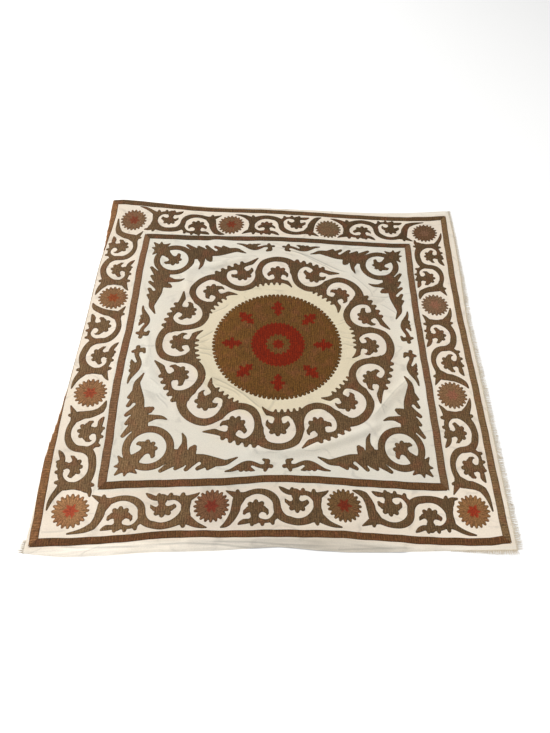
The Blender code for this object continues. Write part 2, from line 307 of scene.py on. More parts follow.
def cut_edges(x):
    """The cloth's lower and upper edge, at x on the pattern."""
    return -BAND_HALF - table_value(LOWER_MARGIN, x), BAND_HALF + table_value(TOP_MARGIN, x)


def row_height(x, level):
    """Where on the pattern a row of the cloth is at x: rows spread evenly from edge to edge."""
    low, high = cut_edges(x)
    return low + (level + BAND_HALF) / (2 * BAND_HALF) * (high - low)


def row_level(x, y):
    """Which of the cloth's rows a place on the pattern is in, as a height up the squared frame."""
    low, high = cut_edges(x)
    return ((y - low) / (high - low) * 2.0 - 1.0) * BAND_HALF


def left_fold(level):
    """The fold at a row: its crease, how far round the cloth turns, and the cloth beyond the crease."""
    crease = -table_value(LEFT_CREASE, level)
    curl = math.pi * smooth((level - CURL_END) / (CURL_START - CURL_END))
    return crease, curl, SHORTEST_LIP + (RAW_LEFT + crease - SHORTEST_LIP) * (curl / math.pi) ** 4


def lay(x, y, lift):
    """Lay places of the squared pattern on the cloth: x and y in metres, lift in metres above the
    sheet's middle. Beyond the left crease the cloth turns under and runs back beneath itself."""
    crease, curl, lip = left_fold(row_level(x, y))
    arc = CURL_RADIUS * curl
    rise = CURL_RADIUS * (1 - np.cos(curl)) + np.maximum(lip - arc, 0.0) * np.sin(curl)
    kept = np.maximum(x, crease)
    raised = rise * smooth(1.0 - (kept - crease - lip - RUN_IN) / RUN_DOWN)
    plan_x, plan_y = pulled(kept, y)
    middle = SHEET / 2 + raised + crease_height(plan_x, plan_y)

    run = np.maximum(crease - x, 0.0)
    turned_by = np.minimum(run, arc) / CURL_RADIUS
    beyond = np.maximum(run - arc, 0.0)
    lift = np.where(turned_by > math.pi / 4, np.minimum(lift, PRESSED * MM), lift)
    out = CURL_RADIUS * np.sin(turned_by) + beyond * np.cos(turned_by) + lift * np.sin(turned_by)
    down = CURL_RADIUS * (1 - np.cos(turned_by)) + beyond * np.sin(turned_by) - lift * np.cos(turned_by)
    return np.stack((plan_x - out, plan_y, middle - down), axis=-1)


def linear(hex_colour):
    """An sRGB hex colour as linear red, green and blue."""
    parts = np.array([int(hex_colour[k:k + 2], 16) for k in (1, 3, 5)]) / 255
    return np.where(parts <= 0.04045, parts / 12.92, ((parts + 0.055) / 1.055) ** 2.4)


def cotton_dye(x, y):
    """The cotton's colour at a place on the pattern, in metres, and painted shade on the near margin."""
    reach = {"round": -np.hypot(x, y), "square": np.maximum(np.abs(x), np.abs(y))}
    colour = linear(OPEN_FIELD)
    for _, edge, starts, fade, zone_colour in COTTON_ZONES:
        colour = colour + (linear(zone_colour) - colour) * smooth((reach[edge] - starts) / fade)[..., None]
    for _, place_x, place_y, half_x, half_y, shade in COTTON_SHADES:
        off = np.hypot((x / MM - place_x) / half_x, (y / MM - place_y) / half_y)
        colour = colour * (1 + (shade - 1) * smooth(1.5 - off))[..., None]
    return np.concatenate((colour, np.ones((*np.shape(x), 1))), axis=-1)


def start_material(name, roughness, specular=0.5):
    """A new material with its node tree and its shader."""
    material = bpy.data.materials.new(name)
    material.use_nodes = True
    shader = material.node_tree.nodes["Principled BSDF"]
    shader.inputs["Roughness"].default_value = roughness
    shader.inputs["Specular IOR Level"].default_value = specular
    return material, material.node_tree, shader


def add_node(tree, kind, inputs=(), output=0, **settings):
    """Add a shader node with its settings, values and links, and give one of its outputs. The inputs
    are in the order of the sockets, or by name."""
    made = tree.nodes.new("ShaderNode" + kind)
    for name, value in settings.items():
        setattr(made, name, value)
    for socket, value in (inputs if isinstance(inputs, dict) else dict(enumerate(inputs))).items():
        if isinstance(value, bpy.types.NodeSocket):
            tree.links.new(value, made.inputs[socket])
        else:
            made.inputs[socket].default_value = value
    return made.outputs[output]


def per_metre(size_mm):
    """The scale of a pattern whose marks are about this many millimetres apart."""
    return 1 / (size_mm * MM)


def cotton_material():
    """Hand-woven cotton, unbleached: dull, with slightly uneven threads, a few yellowed places, and
    painted shade and light along thin pressed creases and the rumpled near margin."""
    material, tree, shader = start_material("hand-woven cotton", roughness=0.92, specular=0.2)
    flat = add_node(tree, "Attribute", output="Vector", attribute_name="pattern")
    dye = add_node(tree, "Attribute", output="Color", attribute_name="dye")
    # Yellowed places are about 300 mm across, and small cloudy ones about 40 mm.
    broad = add_node(tree, "TexNoise", {"Vector": flat, "Scale": per_metre(312.5), "Detail": 3.0,
                                        "Roughness": 0.55})
    cloudy = add_node(tree, "TexNoise", {"Vector": flat, "Scale": per_metre(38.46), "Detail": 3.0})
    patchy = add_node(tree, "MapRange", (broad, 0.35, 0.65, 0.0, 0.35))
    aged = add_node(tree, "Mix", {"Factor": patchy, "A": dye, "B": (*linear(YELLOWED), 1)}, "Result",
                    data_type="RGBA")
    # Threads are about 0.7 mm apart. They are drawn 2.4 mm apart, or they wouldn't show. At a scale
    # of 1 a wave texture's bands are 2 pi / 20 apart.
    thread_pitch = 2.4
    weave = [add_node(tree, "TexWave", {"Vector": flat, "Scale": 2 * math.pi * per_metre(thread_pitch) / 20,
                                        "Distortion": 1.2, "Detail": 2.0, "Detail Scale": 0.6}, "Fac",
                      bands_direction=direction) for direction in ("X", "Y")]
    woven = add_node(tree, "Math", weave, operation="MULTIPLY")
    mottled = add_node(tree, "Math", (cloudy, woven), operation="ADD")
    shades = [add_node(tree, "MapRange", (mottled, 0.2, 1.3, 0.945, 1.035))]
    # Painted shade of small hard creases: thin wavering dark lines where the pressed cloth was folded,
    # in some places only.
    leaning = add_node(tree, "VectorMath", (flat, (0.8, 1.5, 1.0)), operation="MULTIPLY")
    waver = add_node(tree, "TexNoise", {"Vector": leaning, "Scale": per_metre(166.7), "Detail": 2.0,
                                        "Roughness": 0.4, "Distortion": 0.5})
    apart = add_node(tree, "Math", (waver, -0.5), operation="ADD")
    apart = add_node(tree, "Math", (apart,), operation="ABSOLUTE")
    line = add_node(tree, "MapRange", (apart, 0.0, 0.030, 1.0, 0.0), interpolation_type="SMOOTHSTEP")
    somewhere = add_node(tree, "MapRange", (cloudy, 0.42, 0.58))
    crease = add_node(tree, "Math", (line, somewhere), operation="MULTIPLY")
    shades.append(add_node(tree, "Math", (crease, -0.16, 1.0), operation="MULTIPLY_ADD"))
    # Uneven threads give the cotton a grain, about 4 mm across and so coarser than real.
    grain = add_node(tree, "TexNoise", {"Vector": flat, "Scale": per_metre(4.167), "Detail": 2.0})
    shades.append(add_node(tree, "MapRange", (grain, 0.3, 0.7, 0.955, 1.045)))
    # Each sharp crease is a thin line of painted shade, with a paler line of painted light on one
    # side and a broad soft painted shade on the other: (middle of the line, mm, how far it reaches,
    # mm, how much it shades).
    for number in range(len(FINE_CREASES)):
        off_crease = add_node(tree, "Attribute", output="Fac", attribute_name=f"crease_off_{number}")
        depth = add_node(tree, "Attribute", output="Fac", attribute_name=f"crease_depth_{number}")
        for middle, reach, strength in ((0.5, 4.6, -0.30), (-5.0, 4.5, 0.06), (8.0, 9.0, -0.06)):
            away = add_node(tree, "Math", (off_crease, middle), operation="SUBTRACT")
            away = add_node(tree, "Math", (away,), operation="ABSOLUTE")
            near = add_node(tree, "MapRange", (away, 0.0, reach, 1.0, 0.0), interpolation_type="SMOOTHSTEP")
            near = add_node(tree, "Math", (near, depth), operation="MULTIPLY")
            shades.append(add_node(tree, "Math", (near, strength, 1.0), operation="MULTIPLY_ADD"))
    # The near margin is rumpled in long folds beside its cut edge, 12 mm wide and 170 mm long, drawn
    # only as painted shade and painted light in streaks.
    place_y = add_node(tree, "SeparateXYZ", (flat,), "Y")
    margin = add_node(tree, "MapRange", (place_y, -0.694, -0.704))
    along_edge = add_node(tree, "VectorMath", (flat, (6.0, 85.0, 1.0)), operation="MULTIPLY")
    rumple = add_node(tree, "TexNoise", {"Vector": along_edge, "Scale": 1.0, "Detail": 3.0})
    painted_rumple_shade = add_node(tree, "MapRange", (rumple, 0.3, 0.7, -0.17, 0.13))
    shades.append(add_node(tree, "Math", (painted_rumple_shade, margin, 1.0), operation="MULTIPLY_ADD"))
    shade = shades[0]
    for factor in shades[1:]:
        shade = add_node(tree, "Math", (shade, factor), operation="MULTIPLY")
    colour = add_node(tree, "VectorMath", {0: aged, "Scale": shade}, operation="SCALE")
    relief = add_node(tree, "Math", (waver, 8.0, mottled), operation="MULTIPLY_ADD")
    bump = add_node(tree, "Bump", {"Height": relief, "Strength": 1.0, "Distance": 0.8 * MM})
    tree.links.new(colour, shader.inputs["Base Color"])
    tree.links.new(bump, shader.inputs["Normal"])
    shader.inputs["Sheen Weight"].default_value = 0.05
    return material


COTTON = cotton_material()


def piece_of(name, corners, faces, rim_from, material, attributes):
    """One object from corners and triangles, smooth but for its rim, with values kept per corner.
    Corners that meet at one place become one."""
    _, kept_corners, welded = np.unique(np.round(corners, 7), axis=0, return_index=True, return_inverse=True)
    faces = welded.reshape(-1)[faces]
    mesh = bpy.data.meshes.new(name)
    mesh.from_pydata(corners[kept_corners], [], faces)
    smooth_faces = np.ones(len(faces), bool)
    smooth_faces[rim_from:] = False
    mesh.polygons.foreach_set("use_smooth", smooth_faces)
    for label, (kind, values) in attributes.items():
        slot = {"FLOAT": "value", "FLOAT_VECTOR": "vector", "FLOAT_COLOR": "color"}[kind]
        kept = np.asarray(values, np.float32)[kept_corners]
        mesh.attributes.new(label, kind, "POINT").data.foreach_set(slot, kept.ravel())
    mesh.update()
    mesh.materials.append(material)
    piece = bpy.data.objects.new(name, mesh)
    bpy.context.scene.collection.objects.link(piece)
    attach(piece, "root")
    return piece


def rim_walls(first, second, under):
    """The upright triangles between an upper rim and the same rim on the underside."""
    return np.stack((second, first, first + under, second, first + under, second + under),
                    axis=-1).reshape(-1, 3)


def ground_cloth():
    """The whole sheet with its rolled crease and flap, as fine rows and columns, above and below. Its
    near and right edges round down softly."""
    level = np.concatenate(((-BAND_HALF,), np.linspace(-BAND_HALF + EDGE_ROUND, BAND_HALF, ROWS)))[:, None]
    crease, curl, lip = left_fold(level)
    right_edge = BAND_HALF + table_value(RIGHT_MARGIN, level)
    first = np.maximum(CURL_RADIUS * curl, 0.8 * SHORTEST_LIP * (1 - curl / math.pi))
    rolled = first * np.arange(1, CURL_STEPS + 1) / CURL_STEPS
    flat = first + (lip - first) * np.arange(1, FLAP_STEPS + 1) / FLAP_STEPS
    flap_x = crease - np.concatenate((rolled, flat), axis=1)[:, ::-1]
    main_x = crease + (right_edge - EDGE_ROUND - crease) * np.linspace(0, 1, COLUMNS)
    x = np.concatenate((flap_x, main_x, right_edge), axis=1)
    seen_x = np.maximum(x, crease)
    y = row_height(seen_x, level)

    upper_lift = np.full_like(x, CLOTH_HIGH * MM)
    upper_lift[0, FLAP_STEPS + CURL_STEPS:] -= EDGE_DROP
    upper_lift[1:, -1] -= EDGE_DROP
    above = lay(x, y, upper_lift).reshape(-1, 3)
    below = lay(x, y, np.full_like(x, CLOTH_LOW * MM)).reshape(-1, 3)
    under = x.size
    number = np.arange(under).reshape(x.shape)
    a, b, c, d = (number[:-1, :-1], number[:-1, 1:], number[1:, 1:], number[1:, :-1])
    upper = np.stack((a, b, c, a, c, d), axis=-1).reshape(-1, 3)
    rim = np.concatenate((number[0], number[1:, -1], number[-1, -2::-1], number[-2::-1, 0]))
    faces = np.concatenate((upper, upper[:, ::-1] + under, rim_walls(rim[:-1], rim[1:], under)))

    pattern = np.stack((x, y, np.zeros_like(x)), axis=-1).reshape(-1, 3)
    dye = cotton_dye(x, y).reshape(-1, 4)
    values = {"pattern": ("FLOAT_VECTOR", np.tile(pattern, (2, 1))),
              "dye": ("FLOAT_COLOR", np.tile(dye, (2, 1)))}
    for number_of_set, creases in enumerate(FINE_CREASES):
        off, depth = fine_crease(*pulled(seen_x, y), creases)
        depth = np.where(x < crease, 0.0, depth)
        values[f"crease_off_{number_of_set}"] = ("FLOAT", np.append(off, np.full(under, FAR_OFF)))
        values[f"crease_depth_{number_of_set}"] = ("FLOAT", np.append(depth, np.zeros(under)))
    return piece_of("cotton_cloth", np.concatenate((above, below)), faces, len(upper) * 2, COTTON, values)


cloth = ground_cloth()
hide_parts("ground_cloth")

# ---------------------------------------------------------------------------------------------
# Border vines. Loosely twisted olive brown thread is laid in close rows over the cotton and tied
# down, so each stitched shape is a low soft pad with rounded edges. There are three lengths of vine
# to a side, drawn by hand from the same shape and so never quite alike.
RIM_LIFT, FACE_LIFT, ROOT_LIFT = 0.22, 0.80, -0.50      # mm from the sheet's middle
RED_LIFT = 0.18                                         # the red rows stand this much prouder, mm
SOFT_EDGE = 3.2                                         # mm over which a pad rounds up to its face
FULLNESS = 0.8                                          # the thread spreads this far past its line, mm
ROSETTE_ROW, ROSETTE_GAP = 592.0, 394.7                 # mm from the middle, and from one to the next
VINE_PITCH = 2.8                                        # mm between the points of a vine's pads
OLIVE, OLIVE_DARK, OLIVE_LIGHT = linear("#5F4930"), linear("#523F29"), linear("#785D3F")
NO_RED = (0.0, linear("#7C3019"))                       # none is filled in, but some threads strayed

# (kind, mirrored, start tail, end barb, end tail, rows of: place, moved along, moved across)
BORDER_KINDS = (
    ("first", False, ((-13, -65, 2), (16, -61, 5.5), (38, -55, 9)), ((334, 40, 6), (347, 49, 1.5)),
     ((340, -50, 9), (358, -57, 5.5), (373, -61, 1.5)),
     ((58, 14, 0), (133, 9.5, -4.5), (251, 2, -4), (322, 7.5, -1))),
    ("second", False, ((29, -66, 2), (43, -59, 7.5)), ((333, 40, 6), (346, 49, 1.5)),
     ((340, -50, 9), (360, -57, 5.5), (380, -60.5, 1.5)), ((0, 0, 0), (400, 0, 0))),
    ("third", True, ((20, -59, 2), (38, -55, 7.5)),
     ((328, 41, 8), (345, 51, 6.5), (363, 58, 5), (383, 62, 1.5)), ((328, -47, 7), (343, -50, 3)),
     ((58, 9.7, 5), (133, 8.5, 5), (251, 7, 10), (322, 7, 4))),
)
# Each length was also drawn a little off its place: a side's row gives (moved along, moved across) at
# the first flower and at the second, for its three lengths. (side, how light its thread is, lengths)
BORDER_SIDES = (
    ("near", 0.93, ((0, -1, 3, -5), (1, -1.5, 3, -6.5), (0, 5, 0, 6))),
    ("right", 1.08, ((0, 4.5, 2, 3.5), (0, 4.5, 0, 4.5), (0, 0.5, 0, 1))),
    ("far", 0.86, ((0, 0, 2, -2), (0, -1, 0, 0), (-7, 0, -11, 4))),
    ("left", 0.82, ((0, 4, 2, -2), (0, 1, 0, -3), (0, 0, 0, 0))),
)
FLOWER_PLACES = (133, 251)                 # the two flowers of a length, mm along it


def disc(x, y, cx, cy, radius):
    """Distance outside a round patch. Every shape here is worked out so, below zero inside it."""
    return np.hypot(x - cx, y - cy) - radius


def stroke(x, y, *spine):
    """A tapering stroke along rows of (x, y, half width)."""
    far = np.full(np.shape(x), np.inf)
    for start, end in zip(spine, spine[1:]):
        along, off = beside(x, y, start, end)
        far = np.minimum(far, off - start[2] - along * (end[2] - start[2]))
    return far


def bent(x, y, *rows, steps=5):
    """A stroke that bends smoothly through its rows."""
    rows = np.array(rows, float)
    rows = np.vstack((2 * rows[0] - rows[1], rows, 2 * rows[-1] - rows[-2]))
    spine = [0.5 * (2 * p1 + (p2 - p0) * t + (2 * p0 - 5 * p1 + 4 * p2 - p3) * t ** 2
                    + (3 * p1 - 3 * p2 + p3 - p0) * t ** 3)
             for p0, p1, p2, p3 in zip(rows, rows[1:], rows[2:], rows[3:]) for t in np.arange(steps) / steps]
    return stroke(x, y, *spine, rows[-2])


def joined(*shapes):
    """Several shapes as one."""
    return np.minimum.reduce(shapes)


def cut(shape, *holes):
    """A shape without its holes."""
    return np.maximum(shape, -np.minimum.reduce(holes))


def teeth(x, y, *tips, root_half=9.0, tip_half=5.0):
    """Blunt teeth: rows of (root x, root y, tip x, tip y)."""
    rows = []
    for ax, ay, bx, by in tips:
        short = 1.0 - tip_half / math.hypot(bx - ax, by - ay)
        tip = (ax + (bx - ax) * short, ay + (by - ay) * short, tip_half)
        rows.append(stroke(x, y, (ax, ay, root_half), tip))
    return joined(*rows)


def flower_head(x, y, cx, cy, facing, size=1.0):
    """A five-lobed flower head on a stem: facing is 1 for up and -1 for down. Its two lowest lobes
    hang down and curl in towards the stem."""
    x = (x - cx) / size
    y = (y - cy) * facing / size
    lobes = [disc(x, y, 0, 2, 21.5), stroke(x, y, (-24, 0, 10), (24, 0, 10)),
             stroke(x, y, (0, 16, 11), (0, 25.5, 7))]
    for side in (1, -1):
        lobes.append(stroke(x, y, (side * 13, 12, 11), (side * 19.5, 18, 7.5)))
        lobes.append(stroke(x, y, (side * 28, -3, 8), (side * 34, -6, 7.5), (side * 38, -14, 4),
                            (side * 37.5, -20, 1.6)))
    return joined(*lobes) * size


def border_length(x, y, start_tail, end_barb, end_tail):
    """One length of border vine between two rosettes, x along the side from the first rosette's
    middle and y towards the cloth's middle. The vine rises from a column beside the rosette, arches
    over one flower, dips under the next and ends in a second column."""
    vine = joined(
        bent(x, y, *start_tail, (57, -45, 12)),
        bent(x, y, (57, -45, 12), (67, -25, 13.5), (71.5, 0, 13.5), (78, 18, 17), (86, 25, 14)),
        stroke(x, y, (64, 34, 9), (40, 47, 1.5)),
        bent(x, y, (84, 24, 12.5), (100, 30.5, 9.2), (120, 35.8, 9.4), (141, 37.3, 9.4), (163, 32.5, 10),
             (181, 20, 11), (190, 5, 10.5), (193, -15, 11), (199, -32, 12.5), (214, -44, 11), (232, -49, 11),
             (252, -51, 11.2), (273, -48, 11), (292, -39, 13), (308, -27, 17), (311, -8, 11.5),
             (311, 6, 11.5), (309, 24, 16), (312, 31, 10)),
        bent(x, y, (312, 30, 11), *end_barb),
        bent(x, y, (318, -36, 14), *end_tail),
        teeth(x, y, (77, 30, 73, 49), (305, -40, 310, -60)))
    vine = cut(vine, disc(x, y, 133, -18.5, 49), disc(x, y, 251.5, 7, 48.5),
               bent(x, y, (86, -22, 5), (79, -38, 5.5), (70, -54, 6.5), (58, -70, 8)),
               bent(x, y, (208, 10, 7), (203, 26, 8), (193, 40, 8), (180, 54, 8)))
    outer_strip = joined(
        bent(x, y, (79, -60, 2), (88, -55.5, 6), (100, -52, 8.5), (116, -49, 9), (150, -50, 9),
             (172, -46, 10), (186, -34, 12)),
        teeth(x, y, (119, -51, 119, -68), (149, -52, 149, -68), (177, -48, 180, -64)),
        stroke(x, y, (126, -49, 14), (126, -20, 11)))
    inner_strip = joined(
        bent(x, y, (200, 52, 2), (211, 44, 6.5), (226, 37, 7.5), (245, 37, 7), (268, 38, 6.5),
             (287, 34, 8.5), (301, 20, 11)),
        teeth(x, y, (237, 37, 238, 53), (269, 37, 271, 53), (301, 34, 303, 52)),
        stroke(x, y, (248, 37, 13), (249, 10, 11)))
    flowers = cut(joined(outer_strip, inner_strip, flower_head(x, y, 129.5, -16.5, 1, 0.90),
                         flower_head(x, y, 251, 3, -1, 0.86)),
                  stroke(x, y, (107.5, -37, 8.6), (96, -39, 6.4), (86, -35, 7)),
                  bent(x, y, (178, -8, 7), (177, -24, 6.8), (170, -37, 6.2), (160, -42.5, 6.2),
                       (147, -37, 9.3)),
                  stroke(x, y, (231, 16.5, 8.3), (219, 21, 6.2), (209, 25, 7)),
                  bent(x, y, (297, 0, 7), (292, 13, 6.3), (284, 22, 5.8), (274, 25, 5.6), (265.5, 18.5, 8.5)))
    return joined(vine, flowers) - FULLNESS


def cell_outline(covered_corners):
    """How a shape's edge passes through one square: corners 0 to 3, and 4 to 7 for where the edge
    crosses the sides that follow them."""
    outline = []
    for corner in range(4):
        if covered_corners[corner]:
            outline.append(corner)
        if covered_corners[corner] != covered_corners[(corner + 1) % 4]:
            outline.append(corner + 4)
    return outline


def covered(shape, low, high, pitch, repeats=False):
    """Cover a stitched shape with small triangles. Gives its points, how deep each one lies inside
    the edge, the triangles, and the rim's edges with the shape on their left, all in mm. A shape
    that repeats from left to right gets two ends that fit together."""
    x, y = np.meshgrid(*(np.linspace(a, b, 1 + round((b - a) / pitch)) for a, b in zip(low, high)))
    depth = -shape(x, y)
    if repeats:
        depth[:, -1] = depth[:, 0]
    inside = depth > 0
    corner = np.arange(x.size).reshape(x.shape)
    level = corner[:, :-1] + x.size
    upright = corner[:-1] + 2 * x.size

    def crossing(first, second, values):
        """Where the edge crosses between two corners, kept a little off both."""
        share = np.clip(first / np.where(first == second, 1.0, first - second), 0.04, 0.96)
        return values[0] + (values[1] - values[0]) * share

    flat_x, flat_y, flat_depth = np.zeros((3, 3 * x.size))
    flat_x[corner] = x
    flat_y[corner] = y
    flat_depth[corner] = depth
    flat_x[level] = crossing(depth[:, :-1], depth[:, 1:], (x[:, :-1], x[:, 1:]))
    flat_y[level] = y[:, :-1]
    flat_x[upright] = x[:-1]
    flat_y[upright] = crossing(depth[:-1], depth[1:], (y[:-1], y[1:]))

    cells = np.stack((corner[:-1, :-1], corner[:-1, 1:], corner[1:, 1:], corner[1:, :-1],
                      level[:-1], upright[:, 1:], level[1:], upright[:, :-1]), axis=-1)
    code = sum(inside.ravel()[cells[..., k]].astype(int) << k for k in range(4))
    triangles, rim = [], []
    for kind in range(1, 16):
        outline = cell_outline([bool(kind >> k & 1) for k in range(4)])
        found = cells[code == kind]
        for k in range(1, len(outline) - 1):
            triangles.append(found[:, [outline[0], outline[k], outline[k + 1]]])
        for first, second in zip(outline, outline[1:] + outline[:1]):
            if first > 3 and second > 3:
                rim.append(found[:, [first, second]])
    triangles, rim = np.concatenate(triangles), np.concatenate(rim)
    used, renumbered = np.unique(triangles, return_inverse=True)
    place = np.zeros(3 * x.size, int)
    place[used] = np.arange(len(used))
    return (np.stack((flat_x[used], flat_y[used]), axis=-1), flat_depth[used],
            renumbered.reshape(triangles.shape), place[rim])


def thread_material():
    """Loosely twisted silk and cotton thread, couched in rows: dull, streaked along each row, with
    painted shade in the gaps between rows."""
    material, tree, shader = start_material("couched embroidery thread", roughness=0.8, specular=0.12)
    dye = add_node(tree, "Attribute", output="Color", attribute_name="dye")
    flat = add_node(tree, "Attribute", output="Vector", attribute_name="pattern")
    stitch = add_node(tree, "Attribute", output="Vector", attribute_name="stitch")
    across, along, depth = (add_node(tree, "SeparateXYZ", (stitch,), axis) for axis in "XYZ")
    # A row of couching is 2 mm wide. It is drawn 7 mm wide, or it wouldn't show.
    row_width = 7.0
    sway = add_node(tree, "TexNoise", {"Vector": flat, "Scale": per_metre(16.67), "Detail": 2.0})
    swayed = add_node(tree, "Math", (sway, row_width, across), operation="MULTIPLY_ADD")
    turns = add_node(tree, "Math", (swayed, 2 * math.pi / row_width), operation="MULTIPLY")
    wave = add_node(tree, "Math", (turns,), operation="SINE")
    row = add_node(tree, "MapRange", (wave, -1.0, 1.0))
    # A streak is about 3.6 mm wide and 29 mm long, and a fleck 5 mm across: both coarser than real.
    streak_at = add_node(tree, "CombineXYZ", (swayed, along))
    streak_at = add_node(tree, "VectorMath", (streak_at, (0.28, 0.035, 1.0)), operation="MULTIPLY")
    streak = add_node(tree, "TexNoise", {"Vector": streak_at, "Scale": 1.0, "Detail": 3.0, "Roughness": 0.6})
    fleck = add_node(tree, "TexNoise", {"Vector": flat, "Scale": per_metre(5.263), "Detail": 3.0})
    patch = add_node(tree, "TexNoise", {"Vector": flat, "Scale": per_metre(45.45), "Detail": 2.0})
    warm = add_node(tree, "MapRange", (patch, 0.48, 0.72, 0.0, 0.4))
    reddened = add_node(tree, "Mix", {"Factor": warm, "A": dye, "B": (*linear("#7A4630"), 1)}, "Result",
                        data_type="RGBA")
    # Each shape is outlined first, in one or two rows of darker, greener thread.
    outline = add_node(tree, "MapRange", (depth, 0.6, 4.2, 0.42, 0.0))
    outlined = add_node(tree, "Mix", {"Factor": outline, "A": reddened, "B": (*linear("#3F3722"), 1)},
                        "Result", data_type="RGBA")
    # The red was filled in last and by eye, so its edges are ragged.
    red_share = add_node(tree, "Attribute", output="Fac", attribute_name="red")
    red_dye = add_node(tree, "Attribute", output="Color", attribute_name="red_dye")
    ragged = add_node(tree, "Math", (fleck, 1.6, -0.8), operation="MULTIPLY_ADD")
    uneven = add_node(tree, "Math", (red_share, ragged), operation="ADD")
    red_here = add_node(tree, "MapRange", (uneven, 0.3, 0.7))
    dyed = add_node(tree, "Mix", {"Factor": red_here, "A": outlined, "B": red_dye}, "Result",
                    data_type="RGBA")
    # Painted shade: each row is lighter on its crown and darker in the gap beside it, besides the rows' bump.
    shade = add_node(tree, "MapRange", (row, 0.0, 1.0, 0.82, 1.12))
    for marks in (streak, fleck):
        marks_shade = add_node(tree, "MapRange", (marks, 0.3, 0.7, 0.62, 1.38))
        shade = add_node(tree, "Math", (shade, marks_shade), operation="MULTIPLY")
    colour = add_node(tree, "VectorMath", {0: dyed, "Scale": shade}, operation="SCALE")
    height = add_node(tree, "Math", (row, streak), operation="ADD")
    bump = add_node(tree, "Bump", {"Height": height, "Strength": 0.5, "Distance": 0.5 * MM})
    tree.links.new(colour, shader.inputs["Base Color"])
    tree.links.new(bump, shader.inputs["Normal"])
    shader.inputs["Sheen Weight"].default_value = 0.02
    return material


THREAD = thread_material()


def sewn(name, patches):
    """Make one piece of stitching from its patches. A patch holds pattern points in mm, their depth
    inside the edge, the triangles, the rim, whether it is mirrored, where its rows run, its dye, how
    red it is and the red dye."""
    corners, faces, walls = [], [], []
    values = {"pattern": [], "stitch": [], "dye": [], "red": [], "red_dye": []}
    count = 0
    for points, depth, triangles, rim, mirrored, rows, dye, red, red_dye in patches:
        x, y = points.T * MM
        under = len(points)
        share = np.clip(depth / SOFT_EDGE, 0, 1)
        above = RIM_LIFT + (FACE_LIFT + RED_LIFT * red - RIM_LIFT) * np.sqrt(1 - (1 - share) ** 2)
        corners += [lay(x, y, above * MM), lay(x, y, np.full_like(x, ROOT_LIFT * MM))]
        sides = rim_walls(rim[:, 0], rim[:, 1], under)
        whole = np.concatenate((triangles, triangles[:, ::-1] + under))
        if mirrored:
            whole, sides = whole[:, ::-1], sides[:, ::-1]
        faces.append(whole + count)
        walls.append(sides + count)
        per_point = (np.column_stack((x, y, np.zeros(under))), np.column_stack((rows, depth)),
                     np.column_stack((np.broadcast_to(dye, (under, 3)), np.ones(under))),
                     np.broadcast_to(red, under), np.tile((*red_dye, 1.0), (under, 1)))
        for kept, value in zip(values.values(), per_point):
            kept += [value] * 2
        count += 2 * under
    faces, walls = np.concatenate(faces), np.concatenate(walls)
    kinds = {"pattern": "FLOAT_VECTOR", "stitch": "FLOAT_VECTOR", "red": "FLOAT"}
    piece = piece_of(name, np.concatenate(corners), np.concatenate((faces, walls)), len(faces), THREAD,
                     {label: (kinds.get(label, "FLOAT_COLOR"), np.concatenate(value))
                      for label, value in values.items()})
    return piece


def olive_patch(at, shape, mirrored, lightness=1.0):
    """A covered shape moved to its points and dyed olive brown: paler towards the left side and
    darker at the top, as the thread at hand was."""
    x, y = at.T
    left = smooth((-x - 250) / 450) + 0.5 * smooth((-x - 120) / 200) * smooth((-y - 100) / 200)
    left = np.minimum(left, 1.0)[:, None]
    top = smooth((y + 50) / 600)[:, None] * (1 - left)
    dye = OLIVE + (OLIVE_LIGHT - OLIVE) * left
    dye = (dye + (OLIVE_DARK - dye) * top) * lightness
    return (at, *shape[1:], mirrored, at, dye, *NO_RED)


def turned(points, quarter_turns):
    """Points turned about the cloth's middle by quarter turns, counter-clockwise."""
    cosine, sine = ((1, 0), (0, 1), (-1, 0), (0, -1))[quarter_turns % 4]
    return points @ np.array(((cosine, sine), (-sine, cosine)))


border_patches = {name: [] for name, _, _ in BORDER_SIDES}
for order, (_, flipped, start_tail, end_barb, end_tail, shifts) in enumerate(BORDER_KINDS):
    shape = covered(lambda x, y: border_length(x, y, start_tail, end_barb, end_tail), (-25, -80), (400, 75),
                    VINE_PITCH)
    drawn_at = shape[0][:, 0]
    places, *moves = zip(*shifts)
    points = shape[0] + np.column_stack([np.interp(drawn_at, places, move) for move in moves])
    for side, (name, lightness, lengths) in enumerate(BORDER_SIDES):
        nudges = zip(lengths[order][:2], lengths[order][2:])
        at = points + np.column_stack([np.interp(drawn_at, FLOWER_PLACES, nudge) for nudge in nudges])
        if flipped:
            at = at * (1, -1)
        at = turned(at + (order * ROSETTE_GAP - ROSETTE_ROW, -ROSETTE_ROW), side)
        border_patches[name].append(olive_patch(at, shape, flipped, lightness))
border_vines = [sewn(f"border_vine_{name}", patches) for name, patches in border_patches.items()]

# ---------------------------------------------------------------------------------------------
# Vine ring. Eight repeats of a scrolling vine go round the medallion in the same olive brown
# thread, each with one flower inside the vine and one outside it, couched like the border.
RING_MIDDLE = 343.0                        # radius of the ring's middle line, mm
RING_REPEAT = 2 * math.pi * RING_MIDDLE / 8
RING_HALF_WIDTH = 86                       # mm
# The teeth of the inner and of the outer flower's foot, mm along the ring from the flower.
INNER_TEETH, OUTER_TEETH = (-93, -68, -42, -16, 10), (-74, -52, -30, -8, 14)
# How far out each repeat's inner flower was drawn, mm, clockwise from the far side. The near side of
# the ring reaches further in than the rest.
FLOWER_SET_OUT = (2, 0, -4, -3, -3, -2, 5, 5.5)
RING_REACHES_IN = 6.0


